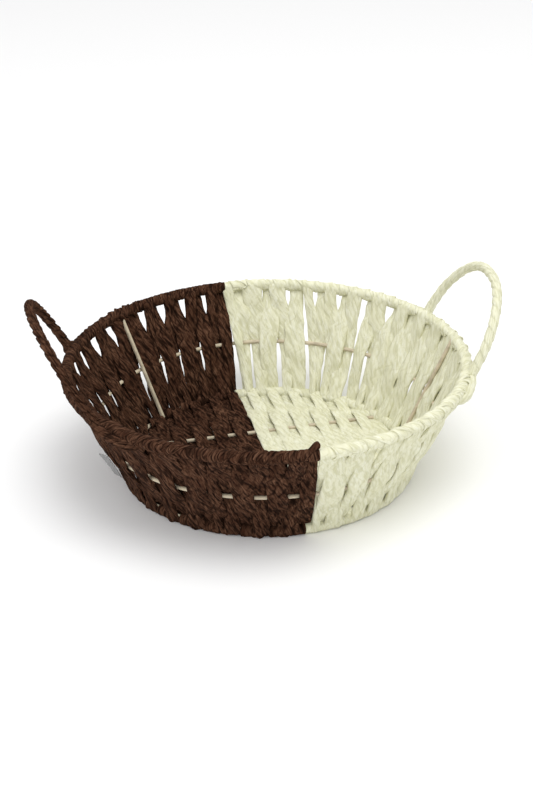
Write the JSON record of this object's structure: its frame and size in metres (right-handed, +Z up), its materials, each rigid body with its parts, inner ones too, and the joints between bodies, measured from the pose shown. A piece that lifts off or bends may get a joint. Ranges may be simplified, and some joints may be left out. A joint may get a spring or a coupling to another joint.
{
  "type": "wire-framed rope basket",
  "caption": "Round shallow basket of flat paper rope wound on a steel wire frame, half dark brown and half cream, with two wrapped loop handles.",
  "frame": {"origin": "on the floor under the middle of the base", "axes": "+Z up; +X towards the cream handle, so the brown half is on -X; the base strands run along Y"},
  "size_m": [0.3422, 0.3, 0.1467],
  "materials": {
    "brown_rope": "matt crumpled paper rope",
    "cream_rope": "matt crumpled paper rope",
    "wire_paint": "satin paint",
    "label_film": "dull film"
  },
  "bodies": {
    "root": {"base_lower_brown": "brown_rope", "base_lower_cream": "cream_rope", "base_ring_wire": "wire_paint", "base_upper_brown": "brown_rope", "base_upper_cream": "cream_rope", "base_wire_back": "wire_paint", "base_wire_front": "wire_paint", "blank_label": "label_film", "bottom_edge_brown": "brown_rope", "bottom_edge_cream": "cream_rope", "handle_wire_brown": "wire_paint", "handle_wire_cream": "wire_paint", "handle_wrap_brown": "brown_rope", "handle_wrap_cream": "cream_rope", "mid_ring_wire": "wire_paint", "rim_wire": "wire_paint", "rim_wrap_brown": "brown_rope", "rim_wrap_cream": "cream_rope", "rope_end_brown": "brown_rope", "wall_inside_ring_brown": "brown_rope", "wall_inside_ring_cream": "cream_rope", "wall_outside_ring_brown": "brown_rope", "wall_outside_ring_cream": "cream_rope", "wall_wire_back_left": "wire_paint", "wall_wire_front_left": "wire_paint", "wall_wire_right": "wire_paint"}
  },
  "joints": []
}
